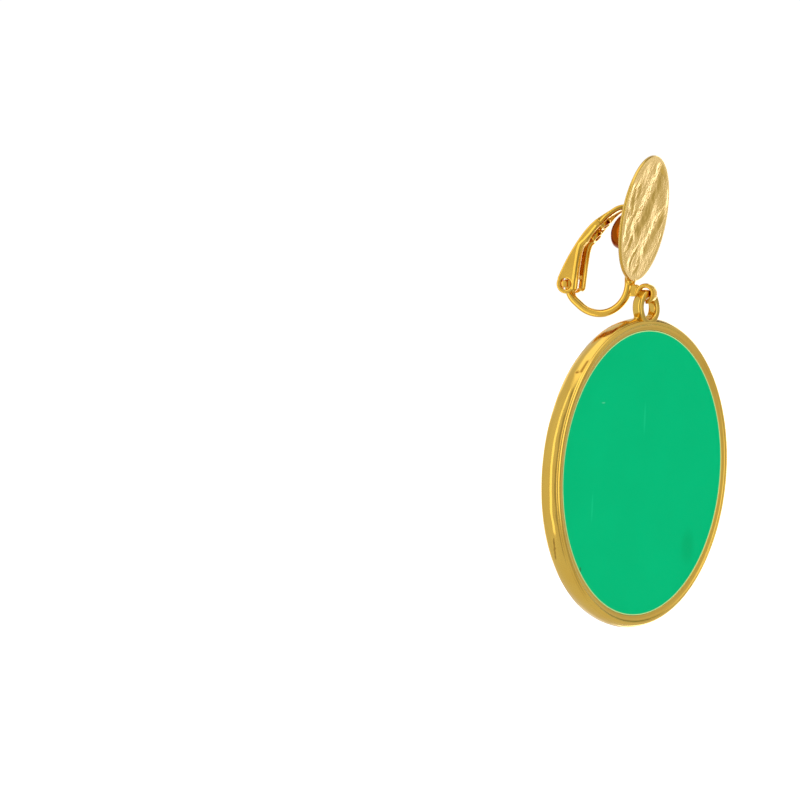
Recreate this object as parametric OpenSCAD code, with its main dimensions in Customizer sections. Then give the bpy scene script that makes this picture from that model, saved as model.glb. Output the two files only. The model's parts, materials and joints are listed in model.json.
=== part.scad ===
// Clip-on earring: a hammered ear disc with a hinged clip behind it, and a large round enamelled drop.
// Worn upright: +Z is up, the ear disc faces -Y, and the origin is where the ear lobe is held.

/* [Ear disc] */
// Radius of the round ear disc
disc_r = 10.5; // [9:0.1:12]
// Thickness of the disc
disc_t = 0.55; // [0.5:0.05:0.8]
// Radius that rounds the edge of the disc
disc_edge_r = 0.2; // [0.1:0.05:0.25]
// Lean of the disc, its top forward, in degrees
disc_lean = 10; // [6:1:12]

/* [Back pad] */
// Radius of the domed pad behind the disc, which presses on the ear lobe
pad_r = 2.9; // [2.6:0.05:3]
// Height of the pad over the disc's back face
pad_h = 4.2; // [3.6:0.1:4.3]
// Radius that rounds the pad's edge
pad_edge_r = 0.7; // [0.4:0.1:1.2]
// How far the pad's middle lies under the disc's middle
pad_drop = 2.8; // [2.7:0.05:3]
// Tilt of the pad against the disc, its upper edge further out, in degrees
pad_tilt = 3; // [0:1:6]

/* [Clip arm] */
// Thickness of the bent clip arm
arm_t = 1.25; // [1:0.05:1.3]
// Width of the clip arm
arm_w = 1.6; // [1.2:0.1:1.8]
// Radius of the arm's half-round bend, to the middle of the strap
arm_bend_r = 5.1; // [5:0.05:5.2]
// Height of the arm's straight leg behind the disc's lower edge
arm_leg = 1.25; // [1:0.05:1.4]
// Angle of the arm's first bend, in degrees
arm_sweep = 131; // [129:1:133]
// Radius of the arm's upper bend, to the middle of the strap
arm_end_r = 3.2; // [3:0.1:3.4]
// Side of the square crossbar that the lever turns on
bar_side = 1; // [0.8:0.05:1]
// Length of the crossbar
bar_l = 4.8; // [4.4:0.1:4.9]

/* [Hook] */
// Inner radius of the curled hook that carries the drop
hook_r = 0.95; // [0.95:0.05:1]
// Thickness of the hook's strip
hook_t = 0.75; // [0.7:0.05:0.9]
// Width of the hook's strip
hook_w = 1.6; // [1.2:0.1:1.6]

/* [Clip lever] */
// Outer width of the lever across its two ears
lever_w = 5; // [4.8:0.1:5.2]
// Thickness of the lever's sheet
lever_t = 0.6; // [0.5:0.05:0.6]
// Radius of the round lower end of each ear
ear_r = 1.6; // [1.5:0.05:1.65]
// Radius of the hole in each ear
ear_hole_r = 0.95; // [0.95:0.05:1]
// Width of the lever's tip
tip_w = 3.2; // [2.8:0.1:3.6]
// Outer radius of each raised eyelet
eyelet_r = 1; // [0.9:0.05:1.05]
// Radius of the hole through each eyelet
eyelet_hole_r = 0.6; // [0.5:0.05:0.65]

/* [Drop] */
// Outer radius of the round drop
drop_r = 25.5; // [25.3:0.1:25.6]
// Depth of the drop's rim behind the enamel's face
rim_depth = 3.2; // [2.8:0.1:3.3]
// Height of the rim's front edge over the enamel's face
lip_h = 0.45; // [0.4:0.05:0.5]
// Radius of the enamel
enamel_r = 23.35; // [23.2:0.05:23.4]
// Thickness of the enamel
enamel_t = 0.9; // [0.7:0.1:1]
// Thickness of the metal plate behind the enamel
plate_t = 0.8; // [0.6:0.1:1]
// Outer radius of the loop on top of the drop
loop_r = 3; // [3:0.05:3.1]
// Radial thickness of the loop's ring
loop_t = 1.25; // [1.1:0.05:1.25]
// Depth of the loop's ring from front to back
loop_depth = 1.3; // [1.1:0.05:1.35]
// Height of the loop's middle over the drop's middle
loop_rise = 27; // [26.8:0.1:27.1]
// Turn of the hanging drop about the vertical, in degrees
drop_turn = -13.5; // [-15:0.5:-10]
// Lean of the hanging drop, its lower edge back, in degrees
drop_lean = 3; // [0:0.5:4]

/* [Hidden] */
$fn = 96;

// Height of the pad's shallow dome
pad_crown = 0.2;

// The modules below are drawn with the middle of the ear disc at [0, 0, 0].
// The lobe is held this far behind it and this far below it.
lobe_behind = 5.5;
lobe_below = 2.5;

// Gap all round a piece that sits in another
gap = 0.05;
// Chamfer that takes the sharp edges off the clip arm, the crossbar, the hook and the loop
arm_edge = 0.35;
bar_edge = 0.2;
hook_edge = 0.25;
loop_edge = 0.3;

// Clip arm, as [y, z]: the middle of its first bend, and the pivot of the lever
bend = [7.7, -10.55];
pivot = [12.8, -10.8];
// After the first bend the strap runs straight, then turns up and ends in the crossbar
arm_straight = 1.2;
arm_turn = 41;
arm_top = 0.84;
// Each straight stretch runs this far into its bends
arm_lap = 0.03;
// The closed lever pulls the back of its ear holes against the crossbar, which lies this far behind the pivot
bar_back = 0.32;

// Curled hook, as [y, z], and how far round its strip goes from the back, over the top
hook = [-0.45, -12.35];
hook_sweep = 300;
// Foot of the hook, soldered to the front of the arm's leg
foot_y = [1.15, 2.75];
foot_z = [-12.85, -10.85];

// Where the drop's loop rests in the hook, as [y, z] of the middle of its wire
hang = [hook.x, hook.y + 0.03];
loop_mid_r = loop_r - loop_t / 2;
// The loop's ring lies this far behind the enamel's face
loop_back = 0.7;

// Back face of the lever, from its ears to its tip: it starts here, as [y, z, heading]
lever_start = [14.24, -9.87, 113.7];
// One row a stretch: [length, turn in degrees]
lever_rows = [
    [8.0, 13],
    [4.2, 14],
    [3.5, 11],
    [1.6, 28],
    [1.9, 1],
];
lever_length = sum_to(lever_rows, len(lever_rows));
// The sheet between the ears starts this far up, clear of the arm when the lever is open
sheet_start = 0.8;
lever_steps = 36;
// Side walls of the lever: one row for each place, [distance along the back face, depth]
wall_rows = [
    [0, 3.25],
    [1.9, 2.9],
    [3.9, 2.25],
    [4.9, 1.9],
    [5.9, 1.55],
    [6.9, 1.3],
    [8.0, 1.5],
    [9.4, 1.4],
    [12.2, 1.05],
];
// Raised eyelets: one row each, [distance along the back face, height over the back face]
eyelet_rows = [
    [11.95, 1.5],
    [9.2, 1.95],
];
// Half widths of the lever seen from above start to narrow here and reach the tip's round end here
narrow_y = 8;
tip_y = 2.85;

// Section of the drop's rim, in the radius and the height over the enamel's face
seat_r = enamel_r + gap;
seat_z = -enamel_t - gap;
plate_z = seat_z - plate_t;
wall_arc_r = 3.7;
wall_mid_z = -rim_depth / 2 + 0.05;
back_rim_r = drop_r - 1.3;

// Sum of the lengths in the first n rows
function sum_to(rows, n) = n == 0 ? 0 : rows[n - 1][0] + sum_to(rows, n - 1);

// The place [u, v, heading] after going a length along a straight or an arc that turns by an angle
function go(p, length, turn) =
    turn == 0
    ? [p[0] + length * cos(p[2]), p[1] + length * sin(p[2]), p[2]]
    : let (r = length * 180 / (PI * turn))
        [p[0] + r * (sin(p[2] + turn) - sin(p[2])),
         p[1] + r * (cos(p[2]) - cos(p[2] + turn)),
         p[2] + turn];

// The place [u, v, heading] at a distance s along the rows
function along(rows, s, p, i = 0) =
    i == len(rows) - 1 || s <= rows[i][0]
    ? go(p, s, rows[i][1] * s / rows[i][0])
    : along(rows, s - rows[i][0], go(p, rows[i][0], rows[i][1]), i + 1);

// The point a depth to the left of a place
function inward(p, depth) = [p[0] - depth * sin(p[2]), p[1] + depth * cos(p[2])];

// Points on an arc
function arc(c, r, from, to, n) =
    [for (i = [0 : n]) let (a = from + (to - from) * i / n) [c[0] + r * cos(a), c[1] + r * sin(a)]];

function lever_at(s) = along(lever_rows, s, lever_start);

// A side shape drawn as [y, z], made w wide about the middle plane
module from_side(w) {
    rotate([90, 0, 90]) translate([0, 0, -w / 2]) linear_extrude(w) children();
}

// Moves what is drawn about the disc's middle to the ear lobe's frame
module at_lobe() {
    translate([0, -lobe_behind, lobe_below]) children();
}

// The disc's own frame, from the middle of its front face: +Z out of it, +Y up along it
module on_disc() {
    rotate([90 + disc_lean, 0, 0]) translate([0, 0, disc_t / 2]) children();
}

// The drop's own frame: +Z out of the enamel's face, +Y up along it, from the enamel's middle
module on_drop() {
    translate([0, hang.x, hang.y]) rotate([0, 0, drop_turn]) rotate([90 + drop_lean, 0, 0])
        translate([0, -loop_rise - loop_mid_r, loop_back]) children();
}

// Rectangle about the origin with its corners cut
module cut_rectangle(w, h, cut) {
    polygon([
        [-w / 2 + cut, -h / 2], [w / 2 - cut, -h / 2], [w / 2, -h / 2 + cut], [w / 2, h / 2 - cut],
        [w / 2 - cut, h / 2], [-w / 2 + cut, h / 2], [-w / 2, h / 2 - cut], [-w / 2, -h / 2 + cut],
    ]);
}

module ear_disc() {
    on_disc() rotate_extrude()
        polygon(concat(
            [[0, -disc_t]],
            arc([disc_r - disc_edge_r, -disc_t + disc_edge_r], disc_edge_r, -90, 0, 4),
            arc([disc_r - disc_edge_r, -disc_edge_r], disc_edge_r, 0, 90, 4),
            [[0, 0]]
        ));
}

module back_pad() {
    foot = disc_t / 2;
    on_disc() translate([0, -pad_drop, -disc_t]) rotate([180 - pad_tilt, 0, 0])
        rotate_extrude() polygon(concat(
            [[0, -foot], [pad_r, -foot]],
            arc([pad_r - pad_edge_r, pad_h - pad_edge_r - pad_crown], pad_edge_r, 0, 75, 6),
            [[0, pad_h]]
        ));
}

module clip_arm() {
    // Leg behind the disc's lower edge
    translate([0, bend.x - arm_bend_r, bend.y]) linear_extrude(arm_leg)
        cut_rectangle(arm_w, arm_t, arm_edge);
    // Bend under the lobe
    translate([0, bend.x, bend.y]) arm_bend(arm_bend_r, -180, arm_sweep);
    // Straight stretch, upper bend and short upright end
    first = arm_sweep - 180;
    straight = [bend.x + arm_bend_r * cos(first), bend.y + arm_bend_r * sin(first), first + 90];
    turned = go(straight, arm_straight, 0);
    upper = inward(turned, arm_end_r);
    top = go(turned, arm_end_r * arm_turn * PI / 180, arm_turn);
    arm_stretch(straight, arm_straight);
    translate([0, upper[0], upper[1]]) arm_bend(arm_end_r, first, arm_turn);
    arm_stretch(top, arm_top);
    // Crossbar in the lever's ears
    translate([0, pivot.x + bar_back, pivot.y]) from_side(bar_l) cut_rectangle(bar_side, bar_side, bar_edge);
}

// The arm's strap round a bend in the middle plane, from an angle over the +Y direction
module arm_bend(r, from, sweep) {
    rotate([90, 0, 90]) rotate([0, 0, from]) rotate_extrude(angle = sweep)
        translate([r, 0]) cut_rectangle(arm_t, arm_w, arm_edge);
}

// The arm's strap along a straight in the middle plane
module arm_stretch(place, length) {
    translate([0, place[0], place[1]]) rotate([place[2] - 90, 0, 0]) translate([0, 0, -arm_lap])
        linear_extrude(length + 2 * arm_lap) cut_rectangle(arm_w, arm_t, arm_edge);
}

module drop_hook() {
    translate([0, hook.x, hook.y]) rotate([90, 0, 90]) rotate_extrude(angle = hook_sweep)
        translate([hook_r + hook_t / 2, 0]) cut_rectangle(hook_t, hook_w, hook_edge);
    from_side(hook_w) polygon([
        [foot_y[0], foot_z[0]], [foot_y[1], foot_z[0]], [foot_y[1], foot_z[1]], [foot_y[0], foot_z[1]],
    ]);
}

// Disc, pad, arm and hook are soldered into one
module clip_frame() {
    color("gold") at_lobe() union() {
        ear_disc();
        back_pad();
        clip_arm();
        drop_hook();
    }
}

// The lever's sheet seen from the side
module lever_sheet_side() {
    step = (lever_length - sheet_start) / lever_steps;
    stations = [for (i = [0 : lever_steps]) lever_at(sheet_start + i * step)];
    polygon(concat(
        [for (p = stations) inward(p, 0)],
        [for (i = [lever_steps : -1 : 0]) inward(stations[i], lever_t)]
    ));
}

// One side wall of the lever with its round ear, seen from the side
module lever_wall_side() {
    top = wall_rows[len(wall_rows) - 1][0];
    steps = 20;
    polygon(concat(
        [[pivot.x, pivot.y]],
        [for (i = [0 : steps]) inward(lever_at(top * i / steps), 0)],
        [for (i = [len(wall_rows) - 1 : -1 : 0]) inward(lever_at(wall_rows[i][0]), wall_rows[i][1])]
    ));
    translate(pivot) circle(ear_r);
}

// The lever's outline seen from above: parallel at its ears, narrower at its round tip
module lever_plan() {
    polygon([
        [-lever_w / 2, 20], [-lever_w / 2, narrow_y], [-tip_w / 2, tip_y],
        [tip_w / 2, tip_y], [lever_w / 2, narrow_y], [lever_w / 2, 20],
    ]);
    translate([0, tip_y]) circle(tip_w / 2);
}

// Where an eyelet stands on the lever, +Z out of the lever's inner side
module at_eyelet(s) {
    p = lever_at(s);
    translate([0, p[0], p[1]]) rotate([p[2], 0, 0]) children();
}

module clip_lever() {
    color("gold") at_lobe() difference() {
        union() {
            intersection() {
                from_side(lever_w) lever_sheet_side();
                translate([0, 0, -20]) linear_extrude(30) lever_plan();
            }
            for (side = [-1, 1])
                translate([side * (lever_w - lever_t) / 2, 0, 0]) from_side(lever_t) lever_wall_side();
            for (row = eyelet_rows)
                at_eyelet(row[0]) translate([0, 0, lever_t / 2])
                    cylinder(r = eyelet_r, h = row[1] - lever_t / 2);
        }
        translate([0, pivot.x, pivot.y]) rotate([0, 90, 0])
            cylinder(r = ear_hole_r, h = 2 * lever_w, center = true);
        for (row = eyelet_rows)
            at_eyelet(row[0]) cylinder(r = eyelet_hole_r, h = 8, center = true);
    }
}

// Section of the drop's rim and back plate
module rim_section() {
    polygon(concat(
        [[0, plate_z], [0, seat_z], [seat_r, seat_z], [seat_r, 0]],
        [[seat_r + 0.15, 0.08], [seat_r + 0.8, lip_h - 0.2]],
        // Inner ridge
        arc([drop_r - 0.75, lip_h - 0.22], 0.2, 120, 30, 3),
        // Fine groove, then the front edge
        [[drop_r - 0.5, lip_h - 0.14]],
        arc([drop_r - 0.3, lip_h - 0.14], 0.14, 130, -20, 5),
        // Groove round the side, then the full round wall
        [[drop_r - 0.24, -0.08]],
        arc([drop_r - wall_arc_r, wall_mid_z], wall_arc_r, 18, -20, 8),
        [[drop_r - 0.55, -rim_depth], [back_rim_r, -rim_depth], [back_rim_r - 0.2, plate_z]]
    ));
}

module drop_frame() {
    color("gold") at_lobe() on_drop() union() {
        rotate_extrude($fn = 180) rim_section();
        translate([0, loop_rise, -loop_back]) rotate_extrude()
            translate([loop_mid_r, 0]) cut_rectangle(loop_t, loop_depth, loop_edge);
    }
}

module enamel_inlay() {
    edge = 0.1;
    color("mediumseagreen") at_lobe() on_drop() rotate_extrude($fn = 180)
        polygon([[0, -enamel_t], [enamel_r, -enamel_t], [enamel_r, -edge], [enamel_r - edge, 0], [0, 0]]);
}

clip_frame();
clip_lever();
drop_frame();
enamel_inlay();
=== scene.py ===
# %% [markdown]
# # A clip-on drop earring
# On the real object a round hammered disc sits on the front of the ear lobe. A spring lever behind it
# holds the lobe, and a large flat disc of green enamel hangs below from a curled hook. Everything but
# the enamel is gold-plated metal, so this lesson is mostly about how bent, cast and hammered metal
# takes light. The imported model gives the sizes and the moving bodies, and each visible piece is made
# here around them.

# %% Load the frame
import json
import math

import bmesh
import bpy
from mathutils import Matrix, Vector, noise


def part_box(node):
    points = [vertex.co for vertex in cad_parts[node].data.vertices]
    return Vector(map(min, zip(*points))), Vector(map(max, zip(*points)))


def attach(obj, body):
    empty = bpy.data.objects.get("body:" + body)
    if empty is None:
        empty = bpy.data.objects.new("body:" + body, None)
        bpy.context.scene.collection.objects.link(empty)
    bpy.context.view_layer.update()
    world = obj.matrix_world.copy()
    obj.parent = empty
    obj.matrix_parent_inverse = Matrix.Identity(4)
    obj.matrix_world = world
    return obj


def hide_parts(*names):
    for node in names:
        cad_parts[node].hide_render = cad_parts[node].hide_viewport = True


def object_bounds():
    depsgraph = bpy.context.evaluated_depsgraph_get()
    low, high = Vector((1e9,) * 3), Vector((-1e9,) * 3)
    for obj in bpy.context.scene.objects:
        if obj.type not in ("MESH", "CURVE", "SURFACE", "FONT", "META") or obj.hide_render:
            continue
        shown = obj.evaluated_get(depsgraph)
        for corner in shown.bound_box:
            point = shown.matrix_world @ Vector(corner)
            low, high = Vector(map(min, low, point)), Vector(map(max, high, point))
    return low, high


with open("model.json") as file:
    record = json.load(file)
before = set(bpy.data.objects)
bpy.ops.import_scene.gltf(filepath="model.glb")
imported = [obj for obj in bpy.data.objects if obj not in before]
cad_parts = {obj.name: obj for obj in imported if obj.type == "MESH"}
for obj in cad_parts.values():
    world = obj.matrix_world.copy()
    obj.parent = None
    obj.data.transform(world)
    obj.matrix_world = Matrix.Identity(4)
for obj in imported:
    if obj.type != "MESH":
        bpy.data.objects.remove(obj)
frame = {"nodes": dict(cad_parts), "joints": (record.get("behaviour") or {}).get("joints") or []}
cad_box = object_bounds()
joints = {joint["name"]: joint for joint in frame["joints"]}
MM = 0.001  # pieces are drawn in millimetres, and stored in metres when they are finished

# %% [markdown]
# ## Where things are
# The row frame has its origin in the ear lobe. Two more frames make the drawing easy: one lies on the
# front face of the ear disc and one on the face of the enamel, both with Z out of the face and Y up
# along it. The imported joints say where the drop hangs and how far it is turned, so the places follow
# the model.

# %% Places of the disc and the drop
DISC_MIDDLE = Vector((0, -5.5, 2.5))
DISC_LEAN = 10
DISC_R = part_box("clip_frame")[1].x / MM
DISC_T = 0.55
DROP_LEAN = 3
LOOP_RISE = 27
LOOP_MID_R = 2.375
LOOP_BACK = 0.7

hang = Vector(joints["drop_swing"]["pos_m"]) / MM
swing_axis = Vector(joints["drop_swing"]["axis"])
pivot = Vector(joints["lever_hinge"]["pos_m"]) / MM


def turn(angle, axis):
    return Matrix.Rotation(math.radians(angle), 4, axis)


drop_turn = math.degrees(math.atan2(swing_axis.y, swing_axis.x))
on_disc = (
    Matrix.Translation(DISC_MIDDLE) @ turn(90 + DISC_LEAN, "X")
    @ Matrix.Translation((0, 0, DISC_T / 2))
)
on_drop = (
    Matrix.Translation(hang) @ turn(drop_turn, "Z") @ turn(90 + DROP_LEAN, "X")
    @ Matrix.Translation((0, -LOOP_RISE - LOOP_MID_R, LOOP_BACK))
)
print("disc radius", round(DISC_R, 2), "drop turned", round(drop_turn, 2), "degrees")

# %% [markdown]
# ## The camera
# A photographer shoots small jewellery from far away with a long lens, which keeps it free of
# perspective. The earring is seen from its left side, 70 degrees round from the front, and stands right
# of the middle of the picture. The camera aims beside the earring instead of using lens shift, so it
# turns that much less.

# %% Camera
PHOTO_PIXELS = 800
PIXELS_PER_MM = 6.098
DISC_PIXEL = (643.9, 218.3)
SEEN_FROM = -70
RAISED = 1.5
LENS = 500
SENSOR = 36

picture_mm = PHOTO_PIXELS / PIXELS_PER_MM
distance = picture_mm * LENS / SENSOR
to_right = (DISC_PIXEL[0] - PHOTO_PIXELS / 2) / PIXELS_PER_MM
to_top = (PHOTO_PIXELS / 2 - DISC_PIXEL[1]) / PIXELS_PER_MM
azimuth = math.radians(SEEN_FROM) + math.atan(to_right / distance)
elevation = math.radians(RAISED)
toward_camera = Vector((
    math.sin(azimuth) * math.cos(elevation), -math.cos(azimuth) * math.cos(elevation), math.sin(elevation)))
right = Vector((math.cos(azimuth), math.sin(azimuth), 0))
aim = DISC_MIDDLE - right * to_right - toward_camera.cross(right) * to_top

lens = bpy.data.cameras.new("camera")
lens.lens = LENS
lens.sensor_width = SENSOR
lens.clip_start = 0.05
lens.clip_end = 20
camera = bpy.data.objects.new("camera", lens)
camera.location = (aim + toward_camera * distance) * MM
camera.rotation_euler = toward_camera.to_track_quat("Z", "Y").to_euler()
bpy.context.scene.collection.objects.link(camera)
bpy.context.scene.camera = camera
bpy.context.scene.view_settings.view_transform = "Standard"
# Light goes to and fro between gold walls many times before it comes out of the hook and the lever
bpy.context.scene.cycles.max_bounces = 24
bpy.context.scene.cycles.glossy_bounces = 24
print("camera", round(distance), "mm away")

# %% [markdown]
# ## Small tools for shapes
# Every piece starts as plain points and faces, so a few helpers do the common work: a skin through
# rings of points, a round-edged bar section, a walk along straights and arcs, and one function that
# turns drawn millimetres into a finished piece that rides on its body.

# %% Skins and meshes
def skin(rings, closed=False):
    """Points and faces of a tube through rings of equal length, capped unless it closes on itself."""
    n = len(rings[0])
    points = [Vector(p) for ring in rings for p in ring]
    faces = []
    for i in range(len(rings) if closed else len(rings) - 1):
        here, there = i * n, (i + 1) % len(rings) * n
        for k in range(n):
            following = (k + 1) % n
            faces.append((here + k, here + following, there + following, there + k))
    if not closed:
        faces.append(tuple(reversed(range(n))))
        faces.append(tuple(range((len(rings) - 1) * n, len(rings) * n)))
    return points, faces


def together(parts):
    """Joins several (points, faces) into one."""
    points, faces = [], []
    for more_points, more_faces in parts:
        start = len(points)
        points += more_points
        faces += [tuple(start + k for k in face) for face in more_faces]
    return points, faces


def add_mesh(name, points, faces, place=Matrix()):
    """An object from points in millimetres, with its faces turned outward."""
    mesh = bpy.data.meshes.new(name)
    mesh.from_pydata([place @ Vector(p) for p in points], [], faces)
    turned = bmesh.new()
    turned.from_mesh(mesh)
    bmesh.ops.recalc_face_normals(turned, faces=turned.faces)
    turned.to_mesh(mesh)
    turned.free()
    obj = bpy.data.objects.new(name, mesh)
    bpy.context.scene.collection.objects.link(obj)
    return obj


def settle(obj):
    """Turns an object's live modifiers, or a curve, into a plain mesh object."""
    evaluated = obj.evaluated_get(bpy.context.evaluated_depsgraph_get())
    mesh = bpy.data.meshes.new_from_object(evaluated)
    name = obj.name
    bpy.data.objects.remove(obj)
    mesh.name = name
    plain = bpy.data.objects.new(name, mesh)
    bpy.context.scene.collection.objects.link(plain)
    return plain


# %% Finish a piece
def finish_piece(obj, material, body, node, crease=40):
    """Stores a piece drawn in millimetres in metres, gives it its material and body, and hides the imported
    part it stands for.
    """
    obj.data.transform(Matrix.Scale(MM, 4))
    obj.data.shade_smooth()
    obj.data.set_sharp_from_angle(angle=math.radians(crease))
    obj.data.materials.clear()
    obj.data.materials.append(material)
    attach(obj, body)
    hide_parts(node)
    triangles = sum(len(face.vertices) - 2 for face in obj.data.polygons)
    print(obj.name, "rides on", body, "with", triangles, "triangles")
    return obj


# %% Smooth steps, tables and arcs
def blend_in(value, start, end):
    """0 below start, 1 above end, and smooth between them."""
    t = min(max((value - start) / (end - start), 0), 1)
    return t * t * (3 - 2 * t)


def look_up(rows, value):
    """Straight interpolation in rows of (place, size), which rise by place."""
    for (a, low), (b, high) in zip(rows, rows[1:]):
        if value <= b:
            return low + (high - low) * max(value - a, 0) / (b - a)
    return rows[-1][1]


def arc(middle, radius, start, end, count):
    """Points on an arc, in degrees."""
    angles = [math.radians(start + (end - start) * i / count) for i in range(count + 1)]
    return [(middle[0] + radius * math.cos(a), middle[1] + radius * math.sin(a)) for a in angles]


# %% Bar sections and walks
def bar_section(width, height, squareness, count=28):
    """Points round a bar: squareness 2 is an ellipse, and 5 a rectangle with soft corners."""
    points = []
    for i in range(count):
        a = 2 * math.pi * i / count
        c, s = math.cos(a), math.sin(a)
        x = math.copysign(abs(c) ** (2 / squareness), c) * width / 2
        y = math.copysign(abs(s) ** (2 / squareness), s) * height / 2
        points.append((x, y))
    return points


def walk(rows, s, place):
    """The place (y, z, heading in degrees) at a distance s along rows of (length, turn)."""
    for i, (length, turned) in enumerate(rows):
        part = s if i == len(rows) - 1 else min(s, length)
        y, z, heading = place
        end = heading + turned * part / length
        a, b = math.radians(heading), math.radians(end)
        if turned:
            r = part / (b - a) if part else 0
            place = (y + r * (math.sin(b) - math.sin(a)), z + r * (math.cos(a) - math.cos(b)), end)
        else:
            place = (y + part * math.cos(a), z + part * math.sin(a), end)
        s -= part
        if s <= 0:
            break
    return place


def beside(place, depth, x=0):
    """The point at a depth to the left of a place on a walk, and x across it."""
    heading = math.radians(place[2])
    return Vector((x, place[0] - depth * math.sin(heading), place[1] + depth * math.cos(heading)))


# %% [markdown]
# ## Small tools for materials
# Colours are written as the eye sees them, in sRGB hex, and turned to the linear values that the
# renderer works with. One helper adds any node with its settings and links, which keeps each material
# short. Inputs that share a name, as those of the Mix node do, go by number: 0 is its factor, and 6 and
# 7 are its colours.

# %% Material helpers
def linear(hex_colour):
    """An sRGB hex colour as linear red, green, blue and alpha."""
    channels = [int(hex_colour[i:i + 2], 16) / 255 for i in (1, 3, 5)]
    return [c / 12.92 if c <= 0.04045 else ((c + 0.055) / 1.055) ** 2.4 for c in channels] + [1]


def add(tree, kind, inputs=None, **settings):
    """Adds a node with its settings, and fills its inputs with values or links."""
    node = tree.nodes.new(kind)
    for name, value in settings.items():
        setattr(node, name, value)
    for name, value in (inputs or {}).items():
        if isinstance(value, bpy.types.NodeSocket):
            tree.links.new(value, node.inputs[name])
        else:
            node.inputs[name].default_value = value
    return node


def new_material(name):
    material = bpy.data.materials.new(name)
    material.use_nodes = True
    material.node_tree.nodes.clear()
    return material, material.node_tree


def close_material(tree, **inputs):
    """The Principled shader and the output; a name's underscore stands for a space."""
    shader = add(tree, "ShaderNodeBsdfPrincipled", {k.replace("_", " "): v for k, v in inputs.items()})
    add(tree, "ShaderNodeOutputMaterial", {"Surface": shader.outputs[0]})


def texture(tree, kind, size_mm, where=None, **settings):
    """A noise or Voronoi texture whose features are about size_mm across."""
    place = where or add(tree, "ShaderNodeTexCoord").outputs["Object"]
    inputs = {"Vector": place, "Scale": 1 / (size_mm * MM)}
    inputs.update({k: v for k, v in settings.items() if k in ("Detail", "Roughness", "Distortion")})
    return add(tree, kind, inputs)


# %% [markdown]
# ## The gold plate
# Real gold plate is a thin bright layer over brass or zinc. Polished, it mirrors the studio, and small
# waves in the casting below bend those reflections. Its deep orange hollows need no paint: light that
# bounces twice between gold walls is coloured twice. The base colour is therefore the colour of one
# bounce. In the cove and on the back of the drop the same metal has a satin finish, which an attribute
# of the mesh mixes in, and another attribute darkens streaks on the side wall to an orange-brown. The
# pad's deep orange base colour is painted shade: it stands for the dim reflections of the lever and disc.

# %% Polished gold plate
GOLD_TINTS = ("#E6B142", "#F0C555")
MOTTLE_MM = 5.0
POLISH_GRAIN_MM = 0.25


def polished_gold_plate(name, wave_mm=2.2, wave_depth=0.02, grain_strength=0.2, tints=GOLD_TINTS):
    material, tree = new_material(name)
    waves = texture(tree, "ShaderNodeTexNoise", wave_mm, Detail=2.0)
    mottle = texture(tree, "ShaderNodeTexNoise", MOTTLE_MM, Detail=3.0)
    grain = texture(tree, "ShaderNodeTexNoise", POLISH_GRAIN_MM, Detail=2.0)
    colour = add(tree, "ShaderNodeMix", {
        0: mottle.outputs[0], 6: linear(tints[0]), 7: linear(tints[1])}, data_type="RGBA")
    # An attribute of the mesh darkens streaks to an orange-brown
    dark_streak = add(tree, "ShaderNodeAttribute", attribute_name="dark_streak")
    streaked = add(tree, "ShaderNodeMix", {
        0: dark_streak.outputs["Fac"], 6: colour.outputs[2], 7: linear("#7A4A08")}, data_type="RGBA")
    satin = add(tree, "ShaderNodeAttribute", attribute_name="satin")
    polish = add(tree, "ShaderNodeMapRange", {
        "Value": mottle.outputs[0], "From Min": 0.3, "From Max": 0.7, "To Min": 0.1, "To Max": 0.17})
    roughness = add(tree, "ShaderNodeMath", {
        0: satin.outputs["Fac"], 1: 0.2, 2: polish.outputs[0]}, operation="MULTIPLY_ADD")
    fine = add(tree, "ShaderNodeBump", {
        "Height": grain.outputs[0], "Strength": grain_strength, "Distance": 0.004 * MM})
    wavy = add(tree, "ShaderNodeBump", {
        "Height": waves.outputs[0], "Strength": 1.0, "Distance": wave_depth * MM,
        "Normal": fine.outputs[0]})
    close_material(tree, Base_Color=streaked.outputs[2], Metallic=1.0, Roughness=roughness.outputs[0],
                   Normal=wavy.outputs[0])
    return material


gold = polished_gold_plate("polished_gold_plate_over_brass")
cast_gold = polished_gold_plate(
    "polished_gold_plate_over_cast_zinc", wave_mm=3.0, wave_depth=0.03, grain_strength=0.06,
    tints=("#DEB14A", "#E7C35C"))
# The pad's deep orange-brown tints are painted shade, standing for the dim reflections of the lever and
# disc beside it
pad_gold_painted_shade = polished_gold_plate("gold_plate_over_turned_brass_painted_shade", tints=("#9A4604", "#AA540A"))
print("made", gold.name, "and", cast_gold.name, "and", pad_gold_painted_shade.name)

# %% [markdown]
# ## Satin gold plate
# The ear disc is hammered and then blasted, so it has the same metal with a softer and paler shine. Its
# folds are real geometry. Only the grain of the blasting is bump: the real one is near a twentieth of a
# millimetre, and it is drawn about three times as coarse, so that it shows at all.

# %% Satin gold plate
BLAST_GRAIN_MM = 0.16
CRINKLE_MM = 0.6
CLOUD_MM = 3.0


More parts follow.
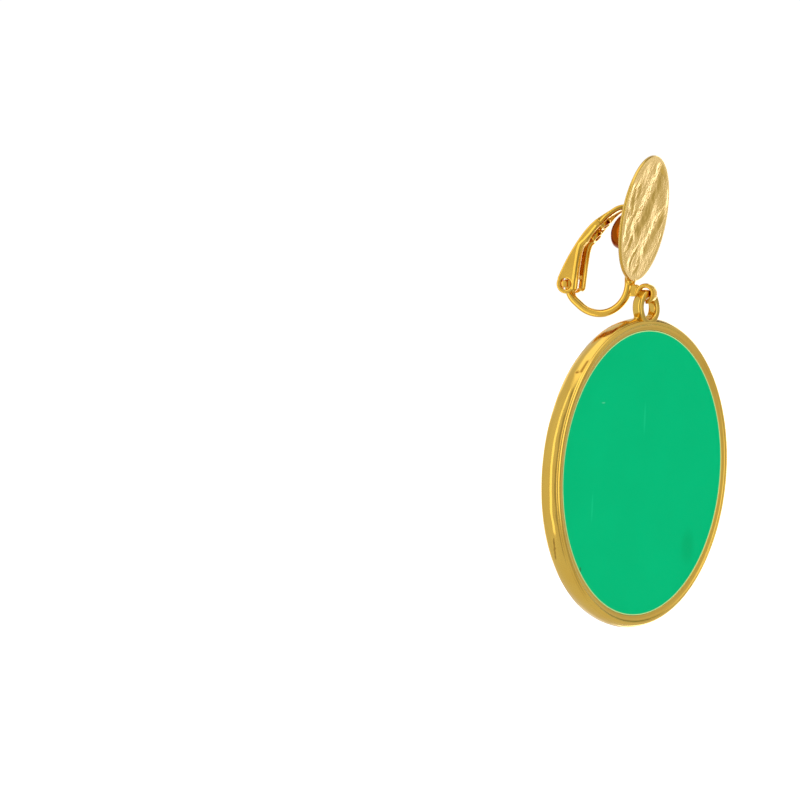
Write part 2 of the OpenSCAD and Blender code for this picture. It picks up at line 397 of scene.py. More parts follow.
def satin_gold_plate():
    material, tree = new_material("satin_gold_plate_blasted")
    grain = texture(tree, "ShaderNodeTexNoise", BLAST_GRAIN_MM, Detail=3.0, Roughness=0.6)
    crinkle = texture(
        tree, "ShaderNodeTexNoise", CRINKLE_MM, Detail=3.0, Roughness=0.6, Distortion=0.6)
    cloud = texture(tree, "ShaderNodeTexNoise", CLOUD_MM, Detail=3.0)
    colour = add(tree, "ShaderNodeMix", {
        0: cloud.outputs[0], 6: linear("#DAB04C"), 7: linear("#E8C262")}, data_type="RGBA")
    roughness = add(tree, "ShaderNodeMapRange", {
        "Value": cloud.outputs[0], "From Min": 0.3, "From Max": 0.7, "To Min": 0.2, "To Max": 0.28})
    fine = add(tree, "ShaderNodeBump", {
        "Height": grain.outputs[0], "Strength": 0.28, "Distance": 0.008 * MM})
    rough = add(tree, "ShaderNodeBump", {
        "Height": crinkle.outputs[0], "Strength": 0.6, "Distance": 0.03 * MM,
        "Normal": fine.outputs[0]})
    close_material(tree, Base_Color=colour.outputs[2], Metallic=1.0, Roughness=roughness.outputs[0],
                   Normal=rough.outputs[0])
    return material


satin_gold = satin_gold_plate()
print("made", satin_gold.name)

# %% [markdown]
# ## Cold enamel
# The green face is opaque resin poured in the cup. It is very even, with the faintest clouds and a few
# small marks. At the wall a pale line is painted in as a highlight of the meniscus catching the light: the
# mesh carries that line as an attribute.

# %% Cold enamel
# Small marks in the face: place on the drop and half sizes in millimetres, colour, strength
MARKS = [
    ((-12.3, 11.7), (0.7, 0.16), "#8FE8BC", 0.28),
    ((-14.3, -5.4), (0.35, 3.6), "#24CC90", 0.28),
    ((0.1, 8.9), (0.4, 3.8), "#24CC90", 0.28),
    ((14.6, -12.7), (2.6, 3.8), "#009E60", 0.5),
    ((-17.0, -15.4), (0.36, 0.55), "#2A6A38", 0.9),
]


def cold_enamel():
    material, tree = new_material("cold_enamel_green_resin")
    cloud = texture(tree, "ShaderNodeTexNoise", 9.0, Detail=2.0)
    colour = add(tree, "ShaderNodeMix", {
        0: cloud.outputs[0], 6: linear("#00AC6E"), 7: linear("#00B273")}, data_type="RGBA").outputs[2]
    where = add(tree, "ShaderNodeTexCoord").outputs["Object"]
    # Each mark is an ellipsoid round its place, which fades from a third of its size outward
    for (x, y), (half_w, half_h), tint, strength in MARKS:
        middle = on_drop @ Vector((x, y, 0)) * MM
        off = add(tree, "ShaderNodeVectorMath", {0: where, 1: middle}, operation="SUBTRACT").outputs[0]
        shares = (1 / (half_w * MM), 1 / (half_w * MM), 1 / (half_h * MM))
        off = add(tree, "ShaderNodeVectorMath", {0: off, 1: shares}, operation="MULTIPLY").outputs[0]
        far = add(tree, "ShaderNodeVectorMath", {0: off}, operation="LENGTH").outputs["Value"]
        near = add(tree, "ShaderNodeMapRange", {0: far, 1: 0.3, 2: 1.0, 3: strength, 4: 0.0},
                   interpolation_type="SMOOTHSTEP").outputs[0]
        marked = add(tree, "ShaderNodeMix", {0: near, 6: colour, 7: linear(tint)}, data_type="RGBA")
        colour = marked.outputs[2]
    # The pale line at the wall is a painted highlight of the meniscus
    highlight_share = add(tree, "ShaderNodeAttribute", attribute_name="painted_edge_highlight")
    highlighted = add(tree, "ShaderNodeMix", {
        0: highlight_share.outputs["Fac"], 6: colour, 7: linear("#DDE69A")}, data_type="RGBA")
    ripple = texture(tree, "ShaderNodeTexNoise", 6.0, Detail=1.0)
    bump = add(tree, "ShaderNodeBump", {
        "Height": ripple.outputs[0], "Strength": 0.5, "Distance": 0.02 * MM})
    close_material(tree, Base_Color=highlighted.outputs[2], Roughness=0.3, IOR=1.5, Specular_IOR_Level=0.008,
                   Normal=bump.outputs[0])
    return material


enamel_green = cold_enamel()
print("made", enamel_green.name)

# %% [markdown]
# ## The ear disc
# The disc is cast from a crumpled pattern. Broad folds cross it from the upper right to the lower left,
# each sinking gently and then rising sharply, with crinkles on the gentle side. The face is a round
# grid of points that a height function lifts: a short table gives the folds, and seeded noise gives the
# crinkles.

# %% Relief of the ear disc
# One row a fold: where its deepest line starts and ends, the widths of its gentle and steep sides, depth
FOLDS = [
    ((5.0, 8.2), (-3.9, -2.6), 3.2, 2.4, 0.36),
    ((7.6, 0.4), (1.4, -5.9), 2.0, 1.6, 0.22),
    ((9.7, -2.4), (8.4, -4.4), 0.9, 0.6, 0.07),
    ((-7.4, 5.6), (-7.8, -3.8), 1.6, 1.6, 0.17),
    ((-4.9, 5.6), (-6.4, 3.2), 1.3, 1.0, 0.10),
    ((-5.3, 1.6), (-6.6, -0.6), 1.2, 0.8, 0.10),
    ((-4.6, -3.1), (-7.2, -5.6), 1.0, 0.5, 0.14),
    ((-1.9, -5.0), (-4.2, -8.2), 1.1, 0.5, 0.15),
    ((0.2, -7.6), (-1.8, -9.4), 0.9, 0.5, 0.08),
]
RIM_BAND = 0.5
CRINKLE_SEED = Vector((13.7, 4.2, 8.1))
FOLD_SEED = 1  # without a seed the vector noise starts from the clock, and no two runs agree
CRUMPLED_ALL_OVER = 0.3  # share of the crinkles that the whole face has
CRINKLE_H = 0.09
PIT_H = 0.11
BROAD_H = 0.16

noise.seed_set(FOLD_SEED)


def fold_height(x, y, fold):
    """Depth of one fold at a point, and how crumpled it is there."""
    (x0, y0), (x1, y1), gentle, steep, height = fold
    length = math.hypot(x1 - x0, y1 - y0)
    ux, uy = (x1 - x0) / length, (y1 - y0) / length
    forward = (x - x0) * ux + (y - y0) * uy
    across = (y - y0) * ux - (x - x0) * uy
    taper = blend_in(forward, -0.9, 0.9) * (1 - blend_in(forward, length - 1.2, length + 0.9))
    if across < 0:
        side = 1 - blend_in(-across, 0, gentle)
        crumpled = taper * blend_in(-across, -0.2, 0.3)
        crumpled *= 1 - blend_in(-across, gentle * 0.7, gentle * 1.1)
        return height * side * taper, crumpled
    return height * (1 - blend_in(across, 0, steep)) * taper, 0


def relief(x, y):
    """Height of the disc's face over its plane."""
    where = Vector((x, y, 0))
    # Slow and quick noise bend the folds, so that none runs straight
    bent = noise.noise_vector(where * 0.45 + CRINKLE_SEED) * 0.7 + noise.noise_vector(where * 1.3) * 0.18
    total, crumpled = 0, CRUMPLED_ALL_OVER
    for fold in FOLDS:
        height, gentle = fold_height(x + bent.x, y + bent.y, fold)
        total -= height
        crumpled = max(crumpled, gentle)
    # Crinkles are longer along the folds, so their place is turned by 45 degrees and squeezed
    along = Vector((x * 0.72 - y * 0.7, (x * 0.7 + y * 0.72) * 0.55, 0))
    crinkles = noise.fractal(along * 0.9 + CRINKLE_SEED, 0.7, 2.1, 4) * CRINKLE_H
    pits = -abs(noise.noise(along * 1.6 - CRINKLE_SEED)) * PIT_H
    broad = noise.noise(where * 0.22 - CRINKLE_SEED) * BROAD_H
    edge = 1 - blend_in(math.hypot(x, y), DISC_R - 3 * RIM_BAND, DISC_R - RIM_BAND)
    return (total + crumpled * (crinkles + pits) + broad) * edge


# %% [markdown]
# A square grid bent into a circle keeps the points evenly spaced, which a fan of rings does not: its
# middle would be crowded and its rim sparse. The border of the grid is then rolled over the thin edge
# to the back.

# %% Ear disc mesh
GRID = 190
EDGE_ROUND = 0.16


def square_to_disc(u, v):
    """Maps the square -1..1 to the unit disc, with evenly spread points."""
    if u == 0 and v == 0:
        return 0, 0
    if abs(u) > abs(v):
        r, a = u, math.pi / 4 * v / u
    else:
        r, a = v, math.pi / 2 - math.pi / 4 * u / v
    return r * math.cos(a), r * math.sin(a)


def ear_disc():
    flat_r = DISC_R - EDGE_ROUND
    points, faces = [], []
    for j in range(GRID + 1):
        for i in range(GRID + 1):
            x, y = square_to_disc(2 * i / GRID - 1, 2 * j / GRID - 1)
            x, y = x * flat_r, y * flat_r
            points.append((x, y, relief(x, y)))
    for j in range(GRID):
        for i in range(GRID):
            a = j * (GRID + 1) + i
            faces.append((a, a + 1, a + GRID + 2, a + GRID + 1))
    last = GRID * (GRID + 1)
    border = [i for i in range(GRID)]
    border += [j * (GRID + 1) + GRID for j in range(GRID)]
    border += [last + GRID - i for i in range(GRID)]
    border += [last - j * (GRID + 1) for j in range(GRID)]
    # The rolled edge, from the face to the back: one row a ring, (inset, height)
    edge_rows = [(0.09, -0.03), (0.02, -0.12), (0, -0.26), (0.02, -0.42), (0.1, -0.53), (1.2, -DISC_T)]
    previous = border
    for inset, height in edge_rows:
        start = len(points)
        for k in border:
            x, y, _ = points[k]
            scale = (DISC_R - inset) / flat_r
            points.append((x * scale, y * scale, height))
        ring = list(range(start, len(points)))
        for k, at in enumerate(ring):
            faces.append((previous[k], previous[k - 1], ring[k - 1], at))
        previous = ring
    middle = len(points)
    points.append((0, 0, -DISC_T))
    faces += [(previous[k], previous[k - 1], middle) for k in range(len(previous))]
    return add_mesh("ear_disc", points, faces, on_disc)


finish_piece(ear_disc(), satin_gold, "clip_frame", "clip_frame", crease=60)

# %% [markdown]
# ## The pad
# A round pad behind the disc presses on the lobe. It is turned from rod, so it is a lathe shape: a
# table of radius and height, domed on its face, and a little lower at its upper side, where the lever
# comes close.

# %% Back pad
PAD_DROP = 2.8
# Radius and height over the back of the disc
PAD_ROWS = [
    (2.86, -0.2), (2.95, 0.5), (2.92, 1.0), (3.0, 1.2), (3.02, 1.8), (2.96, 2.0), (3.0, 2.5), (2.95, 3.0),
    (2.8, 3.6), (2.5, 4.05), (1.9, 4.35), (1.2, 4.5), (0.6, 4.56), (0.05, 4.58),
]
PAD_CUT = 0.12  # share of its height that the pad loses at its upper side
PAD_UP = 1.07  # the upper half is this much longer than the lower one
PAD_STEPS = 72


def back_pad():
    rings = []
    for r, h in PAD_ROWS:
        ring = []
        for i in range(PAD_STEPS):
            a = 2 * math.pi * i / PAD_STEPS
            x, y = r * math.cos(a), r * math.sin(a)
            lowered = 1 - PAD_CUT * blend_in(y, -0.3, 3.3)
            up = y * (PAD_UP if y > 0 else 1) - PAD_DROP
            ring.append((x, up, -DISC_T - (h * lowered if h > 0 else h)))
        rings.append(ring)
    pad = add_mesh("back_pad", *skin(rings), on_disc)
    pad.modifiers.new("Round", "SUBSURF").levels = 1
    pad.modifiers["Round"].render_levels = 1
    return settle(pad)


finish_piece(back_pad(), pad_gold_painted_shade, "clip_frame", "clip_frame", crease=70)

# %% [markdown]
# ## The arm and the hook
# A brass strap is soldered behind the disc, bends under the lobe and ends in a square crossbar that
# holds the lever. In front of it a short block carries a strip that is curled round the loop of the
# drop. Strap and strip are swept along a walk of straights and arcs, and the rest are soft-edged
# blocks. The parts overlap, and a voxel remesh melts them into one skin: a few rounds of smoothing
# leave the soft fillets of solder.

# %% Sweep a strap and melt parts together
def strap(rows, start, step, width, thickness, squareness=4):
    """Points and faces of a strap along a walk, with a ring of points about every step."""
    length = sum(part for part, _ in rows)
    count = max(2, round(length / step))
    section = bar_section(width, thickness, squareness)
    rings = []
    for i in range(count + 1):
        place = walk(rows, length * i / count, start)
        rings.append([beside(place, v, u) for u, v in section])
    return skin(rings)


def block(middle, size, squareness=6, count=24):
    """A box with soft edges, as a superellipsoid."""
    rings = []
    for i in range(1, count):
        b = math.pi * i / count - math.pi / 2
        c = abs(math.cos(b)) ** (2 / squareness)
        s = math.copysign(abs(math.sin(b)) ** (2 / squareness), math.sin(b))
        section = bar_section(size[0] * c, size[1] * c, squareness)
        rings.append([(middle[0] + x, middle[1] + y, middle[2] + s * size[2] / 2) for x, y in section])
    return skin(rings)


def melt(name, parts, voxel, rounds):
    """Melts overlapping closed parts, drawn in millimetres, into one skin with soft edges."""
    whole = add_mesh(name, *together(parts))
    skin_it = whole.modifiers.new("Skin", "REMESH")
    skin_it.mode = "VOXEL"
    skin_it.voxel_size = voxel
    soften = whole.modifiers.new("Soften", "SMOOTH")
    soften.factor = 0.5
    soften.iterations = rounds
    return settle(whole)


# %% Clip arm, crossbar, hook and solder
ARM_T = 1.28
ARM_W = 1.65
ARM_BEND_R = 5.1
ARM_LEG = 1.25
LEG_MORE = 0.7  # the leg runs up behind the disc into the solder
ARM_SWEEP = 131
ARM_STRAIGHT = 1.2
ARM_END_R = 3.2
ARM_TURN = 41
ARM_TOP = 0.9
BAR_SIDE = 1.0
BAR_L = 4.8
BAR_BACK = 0.32  # the closed lever pulls the backs of its ear holes against the bar
HOOK_R = 0.95
HOOK_T = 0.75
HOOK_W = 1.55
HOOK_SWEEP = 268
SHOULDER = (3.6, 1.35, 1.4)  # the bar is thicker between the lever's ears
FOOT = (1.15, 1.5, 2)
FOOT_AHEAD = 0.95
SOLDER = (2.1, 1.7, 2.4)
SMEAR = (2.6, 0.8, 0.8)
SMEAR_PLACE = (-1.7, -10.05, -0.4)  # on the disc, at its lowest edge

bend = Vector((0, pivot.y - ARM_BEND_R, pivot.z + 0.25))
hook = hang - Vector((0, 0, 0.03))
arm_start = (bend.y - ARM_BEND_R, bend.z + ARM_LEG + LEG_MORE, -90)
# The arm as a walk: its leg, the bend under the lobe, a straight, the upper bend and the short end
arm_rows = [
    (ARM_LEG + LEG_MORE, 0), (math.radians(ARM_SWEEP) * ARM_BEND_R, ARM_SWEEP), (ARM_STRAIGHT, 0),
    (math.radians(ARM_TURN) * ARM_END_R, ARM_TURN), (ARM_TOP, 0),
]


def clip_arm():
    arm = strap(arm_rows, arm_start, 0.2, ARM_W, ARM_T, squareness=3)
    crossbar = block(pivot + Vector((0, BAR_BACK, 0)), (BAR_L, BAR_SIDE, BAR_SIDE), squareness=12)
    curl_r = HOOK_R + HOOK_T / 2
    curl_length = math.radians(HOOK_SWEEP) * curl_r
    curl_start = (hook.y + curl_r, hook.z, 90)
    curl = strap([(curl_length, HOOK_SWEEP)], curl_start, 0.12, HOOK_W, HOOK_T, squareness=5)
    shoulder = block(pivot + Vector((0, 0, 0.03)), SHOULDER, squareness=9)
    foot = block((0, arm_start[0] - FOOT_AHEAD, hook.z + 0.5), FOOT, squareness=7)
    solder = block((0, arm_start[0] - 0.3, bend.z + 0.5), SOLDER, squareness=2.2)
    smear = block(on_disc @ Vector(SMEAR_PLACE), SMEAR, squareness=2.4)
    parts = [arm, crossbar, shoulder, curl, foot, solder, smear]
    return melt("clip_arm_and_hook", parts, voxel=0.055, rounds=6)


finish_piece(clip_arm(), gold, "clip_frame", "clip_frame", crease=80)

# %% [markdown]
# ## The lever
# The lever is stamped from sheet and folded to a channel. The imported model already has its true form
# with the holes in its ears and its raised eyelets, so a copy of that mesh is melted together with what
# the solid leaves out: a rolled hem along the front edge of each wall, the rounded lips of the eyelets,
# and the curl of the sheet behind the crossbar. Smoothing then rounds the stamped edges.

# %% Sizes of the lever
LEVER_T = 0.6
# The lever's back as a walk, up from the crossbar to the tip: its start and its rows
lever_start = (pivot.y + 1.44, pivot.z + 0.93, 113.7)
lever_rows = [(8.0, 13), (4.2, 14), (3.5, 11), (1.6, 28), (1.9, 1)]
# Distance along the lever's back and depth of its walls
wall_rows = [
    (0, 3.6), (1.9, 3.05), (3.9, 2.35), (4.9, 1.98), (5.9, 1.6), (6.9, 1.33), (8.0, 1.5), (9.4, 1.4),
    (12.2, 1.1), (13.6, 0.86), (15.5, 0.72), (19, 0.66),
]
# Place toward the lobe and half width of the sheet
half_rows = [(-2.65, 1.6), (2.5, 2.5)]
# Distance along the back and height of the eyelets
eyelet_rows = [(11.95, 1.5), (9.2, 1.95)]
HEM_R = 0.62
HEM_START = 0.1
HEM_END = 18.4
HEM_STEPS = 96
HEM_TAIL = 10  # rings that go on below the start, a tenth of a millimetre apart
CURL_R = 1.3
CURL_W = 1.3
CURL_MIDDLE = 1.65
TIP_SAG = 0.2
print("eyelets at", [s for s, _ in eyelet_rows], "mm along a back of", sum(part for part, _ in lever_rows))


# %% Hems and eyelet lips
def hem(side):
    """The rolled front edge of one wall, which goes on along the edge of the tip."""
    circle = bar_section(2, 2, 2, 20)
    rings = []
    for i in range(-HEM_TAIL, HEM_STEPS + 1):
        s = HEM_START + (HEM_END - HEM_START) * max(i, 0) / HEM_STEPS
        down = Vector((0, 0.2, -1)) * 0.1 * max(-i, 0)
        place = walk(lever_rows, s, lever_start)
        # The roll is thinner past the first bend, and its tail is pinched
        full = HEM_R - 0.27 * blend_in(s, 7, 10) + 0.09 * blend_in(s, 12, 14)
        r = full - 0.3 * blend_in(-i, 5, 11)
        depth = look_up(wall_rows, s) - full + 0.06
        x = side * (look_up(half_rows, place[0]) - full + 0.05)
        rings.append([beside(place, depth + r * v, x + r * u) + down for u, v in circle])
    return skin(rings)


def eyelet_lip(s, top):
    """The rounded lip of an eyelet that is drawn up out of the sheet."""
    y, z, heading = walk(lever_rows, s, lever_start)
    up = (beside((y, z, heading), 1) - beside((y, z, heading), 0)).normalized()
    along = Vector((0, math.cos(math.radians(heading)), math.sin(math.radians(heading))))
    # Radius and height over the sheet: up the flared outside, over the lip and down the hole
    section = [
        (1.45, 0.4), (1.32, 0.8), (1.22, 1.1), (1.19, top - 0.4), (1.05, top - 0.08), (0.86, top + 0.04),
        (0.7, top - 0.04), (0.62, top - 0.3), (0.62, 0.4),
    ]
    rings = []
    for i in range(40):
        a = 2 * math.pi * i / 40
        out = Vector((math.cos(a), 0, 0)) + along * math.sin(a)
        rings.append([Vector((0, y, z)) + out * r + up * h for r, h in section])
    return skin(rings, closed=True)


def sheet_curl(side):
    """The sheet curls down behind the crossbar on either side of a notch for the arm."""
    section = bar_section(CURL_W, LEVER_T, 8)
    rings = []
    for y, z in arc((pivot.y, pivot.z), CURL_R, 46, -45, 18):
        out = Vector((0, y - pivot.y, z - pivot.z)).normalized()
        rings.append([Vector((side * CURL_MIDDLE + u, y, z)) + out * v for u, v in section])
    return skin(rings)


# %% Clip lever
def clip_lever():
    copy = bmesh.new()
    copy.from_mesh(frame["nodes"]["clip_lever"].data)
    bmesh.ops.remove_doubles(copy, verts=copy.verts, dist=1e-7)
    points = [vertex.co / MM for vertex in copy.verts]
    faces = [tuple(vertex.index for vertex in face.verts) for face in copy.faces]
    copy.free()
    parts = [(points, faces), hem(-1), hem(1)] + [eyelet_lip(s, top) for s, top in eyelet_rows]
    parts += [sheet_curl(-1), sheet_curl(1)]
    lever = melt("clip_lever_sheet", parts, voxel=0.07, rounds=9)
    # The tip hangs a little lower than the solid's
    for vertex in lever.data.vertices:
        vertex.co.z -= TIP_SAG * (1 - blend_in(vertex.co.y, 0, 3.5))
    return lever


finish_piece(clip_lever(), gold, "clip_lever", "clip_lever", crease=180)

# %% [markdown]
# ## Rings by Geometry Nodes
# The rim of the drop, its loop and the enamel all follow one rule: a section turned about an axis. One
# node tree does it for all three. It takes the section as a curve, sweeps it round a circle of a given
# radius with Curve to Mesh, merges the points that meet on the axis and sets the material.

# %% Turning tree
def turning_tree():
    tree = bpy.data.node_groups.new("Turned ring", "GeometryNodeTree")
    ports = tree.interface
    ports.new_socket("Ring", in_out="OUTPUT", socket_type="NodeSocketGeometry")
    ports.new_socket("Section", in_out="INPUT", socket_type="NodeSocketGeometry")
    ports.new_socket("Radius", in_out="INPUT", socket_type="NodeSocketFloat")
    ports.new_socket("Steps", in_out="INPUT", socket_type="NodeSocketInt")
    ports.new_socket("Material", in_out="INPUT", socket_type="NodeSocketMaterial")
    given = add(tree, "NodeGroupInput").outputs
    circle = add(tree, "GeometryNodeCurvePrimitiveCircle", {
        "Radius": given["Radius"], "Resolution": given["Steps"]})
    swept = add(tree, "GeometryNodeCurveToMesh", {
        "Curve": circle.outputs[0], "Profile Curve": given["Section"]})
    merged = add(tree, "GeometryNodeMergeByDistance", {"Geometry": swept.outputs[0], "Distance": 0.0005})
    real = add(tree, "GeometryNodeRealizeInstances", {"Geometry": merged.outputs[0]})
    painted = add(tree, "GeometryNodeSetMaterial", {
        "Geometry": real.outputs[0], "Material": given["Material"]})
    add(tree, "NodeGroupOutput", {"Ring": painted.outputs[0]})
    return tree


turning = turning_tree()
socket = {item.name: item.identifier for item in turning.interface.items_tree}
print("turning tree takes", sorted(socket))


def turned(name, section, radius, steps, material):
    """A closed section of (radius, height) points, turned about Z into a plain mesh."""
    curve = bpy.data.curves.new(name, "CURVE")
    curve.dimensions = "3D"
    spline = curve.splines.new("POLY")
    spline.points.add(len(section) - 1)
    spline.use_cyclic_u = True
    for point, (r, z) in zip(spline.points, section):
        point.co = (r - radius, -z, 0, 1)
    ring = bpy.data.objects.new(name, curve)
    bpy.context.scene.collection.objects.link(ring)
    nodes = ring.modifiers.new("Turn", "NODES")
    nodes.node_group = turning
    nodes[socket["Radius"]] = radius
    nodes[socket["Steps"]] = steps
    nodes[socket["Material"]] = material
    return settle(ring)


# %% [markdown]
# ## The rim of the drop
# The section has a satin cove that rises from the enamel, a rounded lip, a slope down to a fine groove,
# and a full round side wall. The cast ring isn't perfectly true: it is a little wide at one side and
# long at the bottom, its back is smaller than its front, and its wall has slow waves, so each point is
# moved by up to a few tenths of a millimetre.

# %% Rim of the drop
DROP_R = 25.5
ENAMEL_R = 23.35
ENAMEL_T = 0.9
GAP = 0.05
LIP_H = 0.45
LIP_R = 0.2
LIP_OUT = 1.12  # from the enamel's wall to the middle of the lip
RIM_DEPTH = 3.2
PLATE_T = 0.8
WALL_ARC_R = 3.7
BACK_RIM_R = DROP_R - 1.3
TURN_STEPS = 480
GROWN = 0.2  # at the bottom and at one side
PULLED_TOP = 0.3  # most at 110 degrees round from the side
PULLED_BOTTOM = 0.28

seat_r = ENAMEL_R + GAP
seat_z = -ENAMEL_T - GAP
plate_z = seat_z - PLATE_T


def pressed(x, y, z=0):
    """Scale of a place on the cast drop, which isn't true: z is 0 at its front and negative behind."""
    a = math.atan2(y, x)
    low, one_side = max(0, -math.sin(a)) ** 2, max(0, math.cos(a)) ** 2
    grown = GROWN * low + GROWN * one_side
    pulled = PULLED_TOP * max(0, math.sin(a - math.radians(20))) + PULLED_BOTTOM * low
    behind = blend_in(-z, 0.5, RIM_DEPTH) * pulled
    return 1 + (grown - behind) / DROP_R


def rim_section():
    """The rim and the plate behind the enamel in one closed section of (radius, height) points."""
    cove = [
        (seat_r, -0.02), (seat_r + 0.04, 0.05), (seat_r + 0.12, 0.08), (seat_r + 0.35, 0.08),
        (seat_r + 0.6, 0.12), (seat_r + 0.8, 0.2),
    ]
    lip = arc((seat_r + LIP_OUT, LIP_H - LIP_R), LIP_R, 165, 55, 8)
    slope = [(DROP_R - 0.75, 0.38), (DROP_R - 0.62, 0.32), (DROP_R - 0.52, 0.24), (DROP_R - 0.45, 0.16)]
    side_groove = [(DROP_R - 0.42, 0.1), (DROP_R - 0.44, 0.04)]
    wall = arc((DROP_R - WALL_ARC_R, 0.05 - RIM_DEPTH / 2), WALL_ARC_R, 24, -20, 18)
    back_edge = [
        (DROP_R - 0.38, -RIM_DEPTH + 0.16), (DROP_R - 0.58, -RIM_DEPTH + 0.03), (DROP_R - 0.75, -RIM_DEPTH),
        (BACK_RIM_R + 0.1, -RIM_DEPTH), (BACK_RIM_R, -RIM_DEPTH + 0.1),
        (BACK_RIM_R - 0.2, plate_z - 0.12), (BACK_RIM_R - 0.35, plate_z),
    ]
    plate = [(16, plate_z), (8, plate_z), (0, plate_z), (0, seat_z), (seat_r, seat_z)]
    return cove + lip + slope + side_groove + wall + back_edge + plate


# %% Waves of the casting and dark streaks
def cast_waves(p):
    """Slow waves in the side wall, a few hundredths of a millimetre deep."""
    slow = noise.noise(p * 0.16) * 0.05 + noise.noise(p * 0.45) * 0.03
    return slow + noise.noise(Vector((p.x, p.y, p.z * 0.4)) * 1.1) * 0.008


# Dark orange-brown streaks on the side wall, pressed in a little: angle and height of both ends, half
# width, strength
DARK_STREAKS = [
    (138.6, -0.85, 138.9, -0.95, 0.35, 0.9),
    (138.1, -0.25, 132.6, -0.2, 0.36, 0.85),
    (204.0, -1.25, 207.3, -1.45, 0.18, 0.7),
    (207.3, -1.45, 212.1, -1.85, 0.16, 0.65),
    (207.4, -1.2, 208.6, -1.75, 0.14, 0.5),
]


def streaked(p):
    """How strongly a point of the side wall is darkened by the streaks."""
    here = Vector((math.degrees(math.atan2(p.y, p.x)) % 360 * math.radians(DROP_R), p.z))
    most = 0
    for a0, z0, a1, z1, half, strength in DARK_STREAKS:
        start = Vector((a0 * math.radians(DROP_R), z0))
        along = Vector((a1 * math.radians(DROP_R), z1)) - start
        t = min(max((here - start).dot(along) / along.length_squared, 0), 1)
        most = max(most, strength * (1 - blend_in((here - start - along * t).length, 0.4 * half, half)))
    return most


# %% Make the rim
def drop_rim():
    rim = turned("drop_rim", rim_section(), DROP_R, TURN_STEPS, cast_gold)
    satin = rim.data.attributes.new("satin", "FLOAT", "POINT")
    dark_streak = rim.data.attributes.new("dark_streak", "FLOAT", "POINT")
    for vertex in rim.data.vertices:
        p = vertex.co.copy()
        r = math.hypot(p.x, p.y)
        on_wall = blend_in(r, DROP_R - 0.6, DROP_R - 0.4) * (1 - blend_in(p.z, -0.3, 0))
        streak_share = on_wall * streaked(p)
        dark_streak.data[vertex.index].value = streak_share
        scale = pressed(p.x, p.y, p.z) * (1 + (on_wall * cast_waves(p) - 0.05 * streak_share) / DROP_R)
        vertex.co = (p.x * scale, p.y * scale, p.z)
        on_cove = blend_in(r, seat_r - 0.1, seat_r) * (1 - blend_in(r, seat_r + 0.95, seat_r + 1.15))
        on_back = 1 - blend_in(r, BACK_RIM_R - 0.3, BACK_RIM_R)
        satin.data[vertex.index].value = max(on_cove, on_back)
    rim.data.transform(on_drop)
    return rim


finish_piece(drop_rim(), cast_gold, "drop", "drop_frame", crease=50)

# %% [markdown]
# ## The loop
# The loop is cast with the rim. The same tree turns its section, a rectangle with soft corners, and two
# small collars where it meets the rim stand for the fillets of the casting.

# %% Loop of the drop
LOOP_T = 1.25
LOOP_DEPTH = 1.72
FOOT_FORWARD = 0.16  # the loop's feet lie nearer to the front than its top does
COLLAR = (1.9, 0.9, 1.75)


def drop_loop():
    section = [(LOOP_MID_R + x, z) for x, z in bar_section(LOOP_T, LOOP_DEPTH, 4, 32)]
    ring = turned("drop_loop", list(reversed(section)), LOOP_MID_R, 120, cast_gold)
    for vertex in ring.data.vertices:
        at_foot = blend_in(-vertex.co.y, -1.4, 1.2)
        vertex.co.z = vertex.co.z * (1 + 0.05 * at_foot) + FOOT_FORWARD * at_foot
    ring.data.transform(on_drop @ Matrix.Translation((0, LOOP_RISE, -LOOP_BACK)))
    parts = [([vertex.co.copy() for vertex in ring.data.vertices],
              [tuple(face.vertices) for face in ring.data.polygons])]
    bpy.data.objects.remove(ring)
    collar_y = math.sqrt(DROP_R ** 2 - LOOP_MID_R ** 2 * 0.4) - 0.12
    for side in (-1, 1):
        middle = (side * LOOP_MID_R * 0.72, collar_y, -LOOP_BACK - 0.1)
        points, faces = block(middle, COLLAR, squareness=2.2)
        parts.append(([on_drop @ Vector(p) for p in points], faces))
    return melt("drop_loop", parts, voxel=0.05, rounds=6)


finish_piece(drop_loop(), cast_gold, "drop", "drop_frame", crease=80)

# %% [markdown]
# ## The enamel
# Poured resin climbs a little where it touches the wall, so the face is flat with a fine meniscus. The
# last fifth of a millimetre carries a painted highlight of that meniscus, a pale line.

# %% Enamel face
def enamel_face():
    edge = ENAMEL_R
    section = [
        (0, 0), (8, 0), (16, 0), (21, 0), (edge - 0.6, 0), (edge - 0.35, 0.01), (edge - 0.2, 0.03),
        (edge - 0.08, 0.06), (edge - 0.01, 0.06), (edge, 0), (edge, -ENAMEL_T), (0, -ENAMEL_T),
    ]
    face = turned("enamel_face", section, edge, TURN_STEPS, enamel_green)
    # The last fifth of a millimetre gets the painted highlight of the meniscus
    highlight_share = face.data.attributes.new("painted_edge_highlight", "FLOAT", "POINT")
    for vertex in face.data.vertices:
        p = vertex.co
        r = math.hypot(p.x, p.y)
        highlight_share.data[vertex.index].value = 0.8 * blend_in(r, edge - 0.2, edge - 0.08)
        scale = pressed(p.x, p.y)
        vertex.co = (p.x * scale, p.y * scale, p.z)
    face.data.transform(on_drop)
    return face


finish_piece(enamel_face(), enamel_green, "drop", "enamel_inlay", crease=50)

# %% [markdown]
# ## The studio
# Polished metal shows nothing but its surroundings, so the lighting is drawn as a room of directions: a
# light tent of an even grey-white, with brighter softboxes and dark cards at chosen angles. The world
# shader mixes them by azimuth, measured from +X towards +Y, and by elevation. To the camera itself the
# tent is plain white.

# %% Light tent
TENT = 0.75
PLAIN_WHITE = 1.05
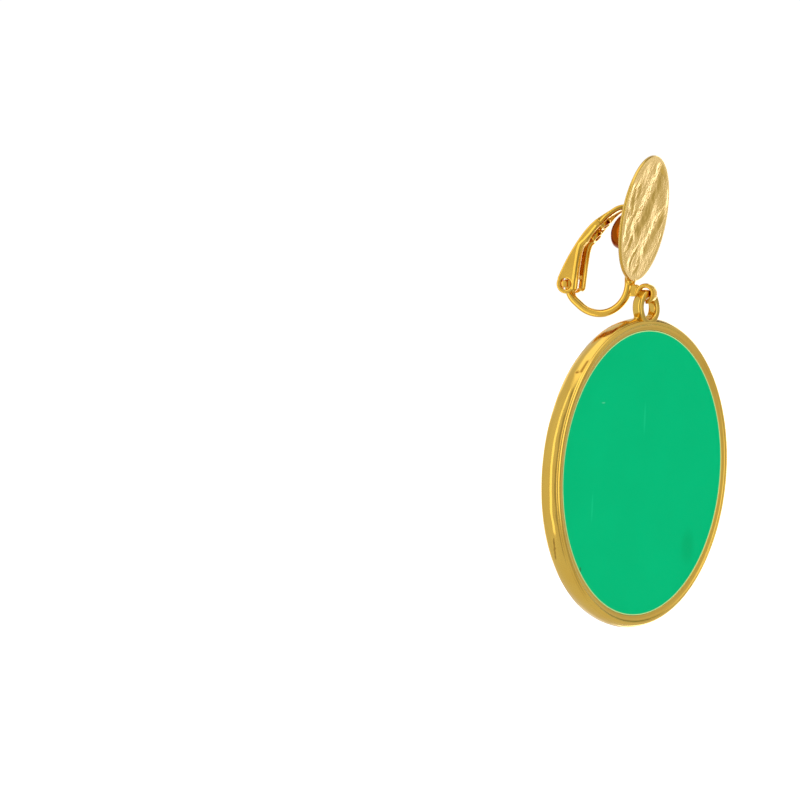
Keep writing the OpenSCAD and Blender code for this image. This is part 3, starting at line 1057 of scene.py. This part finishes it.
# One row a panel: azimuth, elevation, half width, half height and soft border in degrees, and its level
PANELS = [
    (148, 8, 5, 48, 4, 1.7),
    (184, 0, 6, 60, 6, 0.35),
    (206, 0, 8, 50, 8, 0.5),
    (120, -5, 10, 40, 12, 0.8),
    (-23, -8, 7, 14, 4, 0.8),
    (2, -8, 11, 24, 6, 2.8),
    (-47, -5, 8, 6, 5, 0.5),
    (27, -10, 8, 24, 6, 0.9),
    (-112, 18, 10, 34, 10, 1.8),
    (60, 3, 9, 24, 8, 1.5),
    (-85, -10, 6, 40, 8, 0.5),
    (-20, 38, 12, 16, 8, 0.2),
    (0, 82, 180, 14, 14, 1.4),
]


def light_tent():
    world = bpy.data.worlds.new("light_tent")
    world.use_nodes = True
    bpy.context.scene.world = world
    tree = world.node_tree
    tree.nodes.clear()

    def maths(operation, *values):
        return add(tree, "ShaderNodeMath", dict(enumerate(values)), operation=operation).outputs[0]

    direction = add(tree, "ShaderNodeTexCoord").outputs["Generated"]
    part = add(tree, "ShaderNodeSeparateXYZ", {0: direction}).outputs
    round_z = maths("ARCTAN2", part[1], part[0])
    up = maths("ARCSINE", part[2])

    def inside(value, half, border):
        return add(tree, "ShaderNodeMapRange", {
            0: value, 1: math.radians(half), 2: math.radians(half + border), 3: 1.0, 4: 0.0},
            interpolation_type="SMOOTHSTEP").outputs[0]

    level = TENT
    for panel_azimuth, panel_elevation, half_w, half_h, border, strength in PANELS:
        off = maths("SUBTRACT", round_z, math.radians(panel_azimuth))
        off = maths("ABSOLUTE", maths("WRAP", off, math.pi, -math.pi))
        rise = maths("ABSOLUTE", maths("SUBTRACT", up, math.radians(panel_elevation)))
        there = maths("MULTIPLY", inside(off, half_w, border), inside(rise, half_h, border))
        mixed = add(tree, "ShaderNodeMix", {0: there, 2: level, 3: strength}, data_type="FLOAT")
        level = mixed.outputs[0]
    tent = add(tree, "ShaderNodeBackground", {"Strength": level})
    plain = add(tree, "ShaderNodeBackground", {"Strength": PLAIN_WHITE})
    seen = add(tree, "ShaderNodeLightPath").outputs["Is Camera Ray"]
    shown = add(tree, "ShaderNodeMixShader", {0: seen, 1: tent.outputs[0], 2: plain.outputs[0]})
    tent.inputs["Color"].default_value = linear("#FFFFFF")
    plain.inputs["Color"].default_value = linear("#FFFFFF")
    add(tree, "ShaderNodeOutputWorld", {"Surface": shown.outputs[0]})
    print("tent with", len(PANELS), "panels")


light_tent()

# %% [markdown]
# ## The floor
# The earring hangs as it is worn, and a plain pale floor lies some way below it. The metal shouldn't
# mirror a bare floor, so reflections pass through it to the tent, as they would with the sweep of a
# real light table.

# %% Floor
FLOOR_BELOW = 45
FLOOR_HALF = 4000


def pale_floor():
    z = cad_box[0][2] / MM - FLOOR_BELOW
    corners = [(x * FLOOR_HALF, y * FLOOR_HALF, z) for x, y in ((-1, -1), (1, -1), (1, 1), (-1, 1))]
    floor = add_mesh("floor", corners, [(0, 1, 2, 3)])
    floor.data.transform(Matrix.Scale(MM, 4))
    material, tree = new_material("pale_paper")
    close_material(tree, Base_Color=linear("#F4F3F0"), Roughness=0.9, Emission_Color=linear("#FFFFFF"),
                   Emission_Strength=0.5)
    floor.data.materials.append(material)
    floor.visible_glossy = False


pale_floor()
